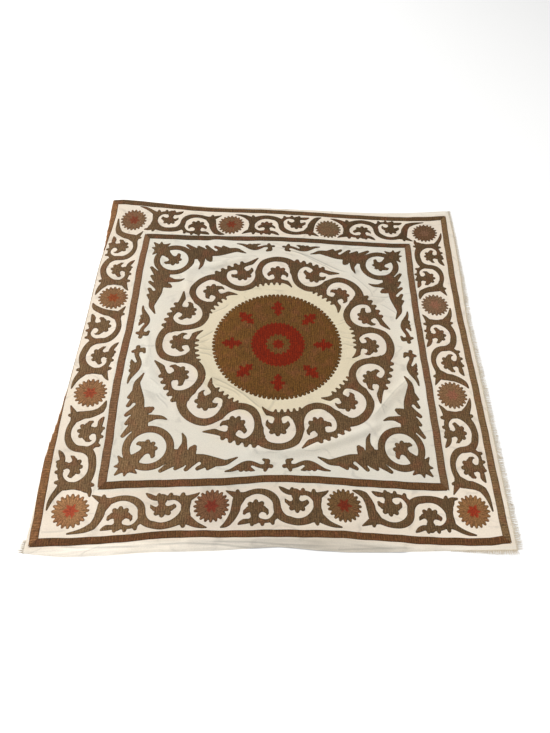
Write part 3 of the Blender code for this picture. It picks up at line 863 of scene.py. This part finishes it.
def ring_flower(x, y, tooth_places):
    """A flower of the vine ring with its toothed foot, foot down and the foot's leaf to the right."""
    foot = joined(
        bent(x, y, (-92, -51, 11), (-60, -51, 11), (-30, -51, 11), (0, -51, 11), (22, -54, 9.8),
             (39, -57.5, 9.6), (53, -66, 6.3), (67, -77, 2)),
        teeth(x, y, *((place, -56, place - 1, -75) for place in tooth_places), root_half=11.5),
        stroke(x, y, (0, -48, 15), (0, -12, 15)))
    return cut(joined(foot, flower_head(x, y, 0, -12, 1)),
               bent(x, y, (-53, -12, 9), (-47.5, -30, 9), (-36.5, -39.3, 8.8), (-22.5, -36, 9.6)),
               stroke(x, y, (22, -36.5, 9.6), (35, -41.5, 7.2), (50, -40, 8.5)))


def ring_repeat(x, y):
    """One eighth of the vine ring, x along the ring and y out from its middle line: the vine passes
    outside one flower and inside the next."""
    half = RING_REPEAT / 2
    vine = joined(
        bent(x, y, (-half - 24, -59, 12.5), (-half, -63.5, 12), (-114, -59, 12.5), (-97, -45, 16),
             (-85, -26, 18), (-75, -4, 15.5), (-67, 15, 14.5), (-55, 35, 13.5), (-33, 51.5, 13), (0, 59, 13),
             (32, 52.5, 13.5), (52, 35, 16), (61, 14, 15), (66, -8, 14), (71.5, -27, 12.5), (84, -46, 12.5),
             (104, -59, 12.5), (half, -63.5, 12), (half + 24, -59, 12.5)),
        stroke(x, y, (-82, -14, 24), (-74, -42, 20), (-57, -48, 14)),
        stroke(x, y, (56, 8, 24), (64, 36, 20), (82, 42, 14)))
    vine = cut(vine, disc(x, y, -6.5, -7, 53.3), disc(x, y, half - 5, 1, 53.3),
               disc(x, y, -half - 5, 1, 53.3),
               bent(x, y, (36, -6, 9), (48, -24, 8.5), (54, -42, 8.2), (62, -57, 7.6), (75, -70, 8),
                    (93, -85, 10)),
               bent(x, y, (-98, 0, 9), (-87, 19, 9), (-77, 38, 8.6), (-65, 58, 9.5), (-55, 78, 11)))
    outer_flowers = (ring_flower(x - side * half - 3, -y - 6, OUTER_TEETH) for side in (-1, 1))
    return joined(vine, ring_flower(x, y, INNER_TEETH), *outer_flowers) - FULLNESS


shape = covered(ring_repeat, (-RING_REPEAT / 2, -RING_HALF_WIDTH), (RING_REPEAT / 2, RING_HALF_WIDTH),
                VINE_PITCH, repeats=True)
along, out = shape[0].T
ring_patches = []
for repeat, set_out in enumerate(FLOWER_SET_OUT):
    angle = repeat * math.pi / 4 + along / RING_MIDDLE
    inner_flower = smooth(1.3 - np.abs(along) / 72) * smooth(1.35 - np.abs(out + 10) / 70)
    near_side = smooth((-np.cos(angle) - 0.3) / 0.5) * smooth(-out / 60 + 0.2)
    radius = RING_MIDDLE + out + set_out * inner_flower - RING_REACHES_IN * near_side
    at = np.column_stack((radius * np.sin(angle), radius * np.cos(angle)))
    ring_patches.append(olive_patch(at, shape, True))
vine_ring = sewn("vine_ring", ring_patches)

# ---------------------------------------------------------------------------------------------
# Corner sprays. In each corner of the field a leafy spray of olive brown thread closes round one
# flower, with a star leaf towards the corner and an arm along each side. It is couched in place.
SPRAY_RING = (394, 395)                                     # middle of the ring round the flower, mm
SPRAY_RING_BARE, SPRAY_RING_OUTER = 54, 76                  # its radii, mm


def corner_arm(x, y):
    """One of the two arms of a corner spray: x and y are measured from the cloth's middle."""
    arm = joined(
        bent(x, y, (436, 126, 2), (444, 143, 5.5), (452, 163, 9.5), (448, 195, 15.5), (444, 228, 22),
             (438, 260, 20), (430, 290, 26), (428, 315, 26), (424, 345, 20)),
        stroke(x, y, (420, 266, 14), (404, 262, 12), (395, 257, 7)),
        bent(x, y, (404, 292, 14), (384, 288, 8), (364, 289, 6), (347, 296, 1.8)),
        teeth(x, y, (456, 200, 474, 218), (455, 226, 473, 249), (456, 262, 475, 283),
              (452, 294, 471, 313), (448, 318, 477, 357), root_half=12, tip_half=5.5))
    return cut(arm, stroke(x, y, (452, 240, 6), (464, 257, 4), (480, 270, 6)))


def corner_spray(x, y):
    """The spray in one corner, with its flower on a stem."""
    star = joined(disc(x, y, 452, 452, 26), stroke(x, y, (424, 424, 16), (450, 450, 18)),
                  teeth(x, y, (462, 444, 480, 420), (464, 452, 488, 455.5), (462, 462, 484, 484),
                        (452, 464, 455.5, 488), (444, 462, 420, 480), root_half=12, tip_half=2.5))
    leaves = cut(joined(disc(x, y, *SPRAY_RING, SPRAY_RING_OUTER), corner_arm(x, y), corner_arm(y, x), star),
                 disc(x, y, *SPRAY_RING, SPRAY_RING_BARE))
    across = (x - y) / math.sqrt(2)
    along = -(x + y - 2 * 392) / math.sqrt(2)
    stem = stroke(x, y, (397, 397, 13), (413, 413, 11), (425, 425, 14), (434, 434, 21))
    flower = cut(joined(flower_head(across, along, 0, -6, 1, 0.88), stem),
                 *(bent(*place, (426, 397, 10), (437, 387, 8.6), (439, 373, 9))
                   for place in ((x, y), (y, x))))
    return joined(leaves, flower) - FULLNESS


shape = covered(corner_spray, (100, 100), (505, 505), VINE_PITCH)
corner_sprays = sewn("corner_sprays", [olive_patch(shape[0] * (across, up), shape, across * up < 0)
                                       for across, up in ((1, 1), (-1, 1), (-1, -1), (1, -1))])

# ---------------------------------------------------------------------------------------------
# Side sprigs. A pair of small leafy sprigs, stem to stem, stands at the middle of each side of the
# field, in olive brown thread couched like the vines.
SPRIG_PITCH = 2.4                          # mm between the points of its pad


def sprig(x, y):
    """A small leafy sprig beside the middle of a side, leaf tip to the left."""
    leaf = joined(
        bent(x, y, (-161, -482, 2), (-143, -479, 5), (-124, -471, 8.5), (-105, -464, 12), (-88, -461, 12),
             (-71, -463, 8), (-56, -469, 6.5), (-44, -471, 8), (-32, -469, 9)),
        disc(x, y, -113, -478, 8), disc(x, y, -96, -477, 9),
        stroke(x, y, (-92, -472, 10), (-82, -481, 6), (-73, -484, 2.2)))
    foot = joined(stroke(x, y, (-35, -466, 8), (-32, -452, 8), (-44, -446, 4)), disc(x, y, -21, -471, 7),
                  stroke(x, y, (-37, -474, 9), (-39, -485, 5)))
    return cut(joined(leaf, foot), stroke(x, y, (-79, -470, 4.5), (-66, -476, 4))) - FULLNESS


shape = covered(sprig, (-170, -500), (-5, -430), SPRIG_PITCH)
side_sprigs = sewn("side_sprigs", [olive_patch(turned(shape[0] * (across, 1), side), shape, across < 0)
                                   for side in range(4) for across in (1, -1)])

# ---------------------------------------------------------------------------------------------
# Rosettes. A round flower is worked between each pair of border lengths and one at each corner,
# its thread laid outwards from the middle. Each was made with the thread at hand, so their browns
# and reds differ.
# (name, along, up, thread, its red heart)
ROSETTES = (
    ("near left", -592, -592, "#986E48", "#A2452C"), ("near 2", -197.3, -592, "#6C4B33", "#763020"),
    ("near 3", 197.3, -592, "#654A2C", "#6D2814"), ("near right", 592, -592, "#845F3A", "#91321A"),
    ("right 2", 592, -197.3, "#795A3D", "#875740"), ("right 3", 592, 197.3, "#735840", "#875C45"),
    ("far right", 592, 592, "#5F442D", "#70503A"), ("far 3", 197.3, 592, "#67523A", "#6B5138"),
    ("far 2", -197.3, 592, "#694E35", "#703018"), ("far left", -592, 592, "#71543A", "#733720"),
    ("left 3", -592, 197.3, "#7E5C3C", "#864220"), ("left 2", -592, -197.3, "#886240", "#924329"),
)
PETALS, PETALS_FROM = 20, 41.5             # their number, and the radius where they part, mm
ROSETTE_REACH, ROSETTE_PITCH = 54.4, 2.4   # a little more than its radius, and between points, mm
STAR_RADIUS, STAR_BLUR = 17, 17            # the red star at its heart, mm
ROWS_AT = 36                               # the rows' width is right at this radius, mm


def spoke(x, y, count):
    """A place seen from the nearest of evenly spaced spokes: how far out along it, and how far beside."""
    angle = np.arctan2(y, x)
    nearest = np.round(angle / (2 * math.pi / count)) * (2 * math.pi / count)
    radius = np.hypot(x, y)
    return radius * np.cos(angle - nearest), radius * np.sin(angle - nearest)


def rosette(x, y):
    """A round flower of petals with pointed gaps between them."""
    return joined(disc(x, y, 0, 0, PETALS_FROM), stroke(*spoke(x, y, PETALS), (38, 0, 8.2), (48.2, 0, 4.3)))


shape = covered(rosette, (-ROSETTE_REACH, -ROSETTE_REACH), (ROSETTE_REACH, ROSETTE_REACH), ROSETTE_PITCH)
angle, radius = np.arctan2(shape[0][:, 1], shape[0][:, 0]), np.hypot(*shape[0].T)
star = STAR_RADIUS + 4.0 * np.cos(6 * angle) + 2.0 * np.cos(11 * angle + 1)
star = smooth((star - radius) / STAR_BLUR + 0.5)
rows = np.column_stack((angle * ROWS_AT, radius))
rosettes = sewn("border_rosettes", [(shape[0] + (along, up), *shape[1:], False, rows, linear(thread), star,
                                     linear(heart_dye)) for _, along, up, thread, heart_dye in ROSETTES])

# ---------------------------------------------------------------------------------------------
# Medallion. The great round flower in the middle, couched in one direction in olive brown thread
# and edged with small teeth, with a red ring, a red heart and eight red sprays worked into it.
MEDALLION_RADIUS, TOOTH_RING, TOOTH_HALF = 216.0, 219.5, 6.2      # mm, its teeth being small discs
TOOTH_COUNT = 92
MEDALLION_THREAD, MEDALLION_RED = "#5F3F19", "#6E1B02"
MEDALLION_REACH, MEDALLION_PITCH = 226, 3.2                 # as for the rosettes, mm
RED_RING_OUTER, RED_RING_INNER, RED_HEART = 92, 41, 18      # radii, mm
SPRAY_PLACE, SPRAY_COUNT = 158, 8                           # how far out the sprays are, mm
RED_BLUR = 10                                               # the red's edge is this soft, mm


def medallion(x, y):
    """The great round flower's outline."""
    return joined(disc(x, y, 0, 0, MEDALLION_RADIUS),
                  disc(*spoke(x, y, TOOTH_COUNT), TOOTH_RING, 0, TOOTH_HALF))


def medallion_red(x, y):
    """Where it is red."""
    angle, radius = np.arctan2(y, x), np.hypot(x, y)
    ring = np.maximum(radius - RED_RING_OUTER - 3 * np.cos(38 * angle),
                      RED_RING_INNER + 4 * np.cos(14 * angle) - radius)
    out, side = spoke(x, y, SPRAY_COUNT)
    out = out - SPRAY_PLACE
    spray = joined(stroke(out, side, (-30, 0, 5), (-6, 0, 11), (10, 0, 12), (30, 0, 5)),
                   stroke(out, side, (0, -19, 6), (2, 19, 6)), stroke(out, side, (-20, -9, 5), (-20, 9, 5)),
                   stroke(out, side, (20, -10, 5), (20, 10, 5)))
    return joined(ring, radius - RED_HEART - 3 * np.cos(8 * angle), spray)


shape = covered(medallion, (-MEDALLION_REACH, -MEDALLION_REACH), (MEDALLION_REACH, MEDALLION_REACH),
                MEDALLION_PITCH)
x, y = shape[0].T
paler_left = 1 + 0.20 * smooth((-x - 60) / 150)
red = smooth(-medallion_red(x, y) / RED_BLUR + 0.5)
medallion_piece = sewn("medallion", [(*shape, False, shape[0], linear(MEDALLION_THREAD) * paler_left[:, None],
                                      red, linear(MEDALLION_RED))])

# ---------------------------------------------------------------------------------------------
# Frames. Two straight bands of rust-brown thread, stitched crosswise and mitred at the corners,
# close the border in on its inside and its outside.
# (name, from the middle, to, thread of the near, right, far and left side)
FRAMES = (
    ("inner_frame", 503.0, 528.0, ("#5E4126", "#6F543A", "#4E3B26", "#75553A")),
    ("outer_frame", 666.0, 690.0, ("#5D3E23", "#745A3C", "#59432A", "#7F5937")),
)
# Two sides were not drawn straight: how much narrower the band is there, and rows of (along the side,
# moved out), all in mm. The band is narrower away from its corners only.
FRAME_WAVES = {
    ("outer_frame", 0): (1.4, ((-660, 0), (-600, 2), (-520, 4), (-440, 7), (-385, 5), (-330, 0), (-220, 0),
                               (-160, 2), (-60, 6), (60, 5.5), (130, 4), (190, 1), (340, 1), (440, 2),
                               (560, 5), (625, 4.5), (662, 0))),
    ("inner_frame", 3): (0.0, ((150, 0), (250, -3), (390, -3.5), (470, -1), (498, 0))),
}
STRAIGHT = (0.0, ((0, 0),))
NARROWER_TO, NARROWER_FADE = 655, 60       # mm from the middle of the side
FRAME_PITCH = 4.0                          # mm between the points of a band


def frame_bar(x, y, inner, outer):
    """One side of a frame, mitred at its ends. Its edges waver a little."""
    waver = 0.6 * np.sin(x / 31) + 0.5 * np.sin(x / 13 + 2)
    return np.maximum(np.maximum(-y - outer - waver, y + inner + waver), (np.abs(x) + y) / math.sqrt(2))


for name, inner, outer, threads in FRAMES:
    points, _, triangles, rim = covered(lambda x, y: frame_bar(x, y, inner, outer),
                                        (-outer - 4, -outer - 3), (outer + 4, -inner + 3), FRAME_PITCH)
    x, y = points.T
    depth = np.clip(np.minimum(y + outer, -y - inner), 0, None)
    inward = np.clip((y + outer) / (outer - inner), 0, 1) * smooth((NARROWER_TO - np.abs(x)) / NARROWER_FADE)
    patches = []
    for side, thread in enumerate(threads):
        narrower, waves = FRAME_WAVES.get((name, side), STRAIGHT)
        moved_out = np.interp(x, *zip(*waves)) + narrower * inward
        at = turned(np.column_stack((x, y - moved_out)), side)
        patches.append((at, depth, triangles, rim, False, points, linear(thread), *NO_RED))
    sewn(name, patches)

# ---------------------------------------------------------------------------------------------
# Fringes. Where the cotton was cut and not hemmed, on the right, at the lower right and at the lower
# left corner, its loose warp threads stick out as a short fringe that lies on the floor.
TUFT = 5.6 * MM              # the loose ends cling together in small tufts this far apart
END_SPACING = 0.9 * MM       # real ends are about 0.7 mm apart
END_HALF = 0.38 * MM         # half an end's thickness; a real one is half as thick and wouldn't show
END_STEPS = 5                # rings of corners along an end
END_ROOT = 1.5 * MM          # how far an end starts inside the cloth
END_DROP = 0.7 * MM          # how far below the sheet's middle an end leaves the cloth
FLOOR_LIFT = 0.6 * MM        # height of its middle where it lies on the floor
LOWEST_ROOT = 0.7 * MM       # an end starts at least this high above the floor


def frayed_material():
    """Loose unspun cotton ends: dull and a little yellowed."""
    material, tree, shader = start_material("loose cotton ends", roughness=0.95, specular=0.15)
    where = add_node(tree, "TexCoord", output="Object")
    tuft = add_node(tree, "TexNoise", {"Vector": where, "Scale": per_metre(11.11), "Detail": 2.0})
    shade = add_node(tree, "Mix", {"Factor": tuft, "A": (*linear("#CFC0A6"), 1),
                                   "B": (*linear("#E6DAC6"), 1)}, "Result", data_type="RGBA")
    tree.links.new(shade, shader.inputs["Base Color"])
    return material


FRAYED = frayed_material()


def frayed(name, node, edge_x, edge_y, away, reach_at, seed):
    """A row of loose ends along an edge of the cloth: bent tapering threads with three sides."""
    draw = np.random.default_rng(seed)
    edge = lay(edge_x, edge_y, np.full(len(edge_x), -END_DROP))
    place = np.concatenate(([0], np.cumsum(np.linalg.norm(np.diff(edge, axis=0), axis=1))))
    at = np.arange(END_SPACING, place[-1], END_SPACING)
    at = at + draw.uniform(-0.4, 0.4, len(at)) * END_SPACING
    root = np.column_stack([np.interp(at, place, edge[:, k]) for k in range(3)])
    root[:, 2] = np.maximum(root[:, 2], LOWEST_ROOT)
    along = np.gradient(root[:, :2], axis=0)
    along /= np.linalg.norm(along, axis=1)[:, None]
    out = np.column_stack((along[:, 1], -along[:, 0]))
    out *= np.sign(out @ np.array(away))[:, None]
    reach = reach_at(root) * draw.uniform(0.75, 1.15, len(root))
    # The ends lean together into tufts that are never quite even, and each end bends by itself.
    off_tuft = (at / TUFT + 0.25 * np.sin(at / 0.017)) % 1 - 0.5
    lean = -np.arcsin(np.clip(off_tuft * 0.8 * TUFT / reach, -0.7, 0.7)) + 0.22 * np.sin(at / 0.013)
    lean += draw.normal(0, 0.10, len(root))
    bend = draw.normal(0, 0.12, len(root))
    corners, faces = [], []
    for share in np.linspace(0, 1, END_STEPS):
        angle = lean + bend * share
        far = (reach * share - END_ROOT)[:, None]
        middle = root[:, :2] + far * (out * np.cos(angle)[:, None] + along * np.sin(angle)[:, None])
        height = root[:, 2] + (FLOOR_LIFT - root[:, 2]) * min(1.0, share * 1.6)
        size = END_HALF * (1.25 - 0.8 * share)
        for turn in np.arange(3) * 2 * math.pi / 3:
            corners.append(np.column_stack((middle + along * (size * math.cos(turn)),
                                            height + size * math.sin(turn))))
    corners = np.stack(corners, axis=1).reshape(-1, 3)
    number = np.arange(len(corners)).reshape(len(root), END_STEPS, 3)
    for k in range(END_STEPS - 1):
        for side in range(3):
            a, b = number[:, k, side], number[:, k, (side + 1) % 3]
            c, d = number[:, k + 1, (side + 1) % 3], number[:, k + 1, side]
            faces += [np.stack((a, b, c), axis=-1), np.stack((a, c, d), axis=-1)]
    faces = np.concatenate((*faces, number[:, 0, ::-1], number[:, -1]))
    piece = piece_of(name, corners, faces, len(faces), FRAYED, {})
    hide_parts(node)
    return piece


# The ends' length is given in metres, as the shortest and what it grows by along the edge.
right_levels = np.linspace(-BAND_HALF, BAND_HALF, 240)
right_x = BAND_HALF + table_value(RIGHT_MARGIN, right_levels)
fringe_right = frayed("frayed_right", "fringe_right", right_x, row_height(right_x, right_levels), (1, 0),
                      lambda at: 0.0115 + 0.008 * smooth((0.55 - at[:, 1]) / 0.35), seed=11)
lower_x = np.linspace(0.50, BAND_HALF + RIGHT_MARGIN[0][1] * MM, 40)
fringe_lower = frayed("frayed_lower_right", "fringe_bottom_right", lower_x, cut_edges(lower_x)[0], (0, -1),
                      lambda at: 0.0025 + 0.013 * smooth((at[:, 0] - 0.48) / 0.20), seed=12)
corner_levels = np.linspace(-BAND_HALF, -0.655, 12)
corner_x = -table_value(LEFT_CREASE, corner_levels) - SHORTEST_LIP
fringe_corner = frayed("frayed_corner_left", "fringe_corner_left", corner_x,
                       row_height(corner_x, corner_levels), (-1, 0),
                       lambda at: 0.0095 + 0.005 * smooth((-0.68 - at[:, 1]) / 0.05), seed=13)

# ---------------------------------------------------------------------------------------------
# Floor and light. A plain pale studio floor, matt and painted. One large soft lamp stands far off
# on the left and a weaker one fills in from the right, with an even sky over both.
FLOOR_HALF = 6.0             # m
# (name, place, m, width, m, watts)
LAMPS = (("key", (-6.6, 2.6, 4.2), 4.5, 980.0), ("fill", (2.6, -1.0, 3.0), 3.0, 52.0))
SKY_STRENGTH = 0.28

floor_mesh = bpy.data.meshes.new("floor")
floor_corners = [(x * FLOOR_HALF, y * FLOOR_HALF, 0.0) for x, y in ((-1, -1), (1, -1), (1, 1), (-1, 1))]
floor_mesh.from_pydata(floor_corners, [], [(0, 1, 2, 3)])
floor = bpy.data.objects.new("floor", floor_mesh)
bpy.context.scene.collection.objects.link(floor)
paint, _, paint_shader = start_material("matt studio paint", roughness=0.9)
paint_shader.inputs["Base Color"].default_value = (*linear("#FEFEFD"), 1)
floor_mesh.materials.append(paint)

for name, place, width, watts in LAMPS:
    light = bpy.data.lights.new(name, "AREA")
    light.size = width
    light.energy = watts
    lamp = bpy.data.objects.new(name, light)
    bpy.context.scene.collection.objects.link(lamp)
    lamp.location = place
    lamp.rotation_euler = (-Vector(place)).to_track_quat("-Z", "Y").to_euler()
world = bpy.data.worlds.new("studio")
bpy.context.scene.world = world
world.use_nodes = True
sky = world.node_tree.nodes["Background"]
sky.inputs["Color"].default_value = (1.0, 1.0, 1.0, 1)
sky.inputs["Strength"].default_value = SKY_STRENGTH
bpy.context.scene.view_settings.view_transform = "Standard"
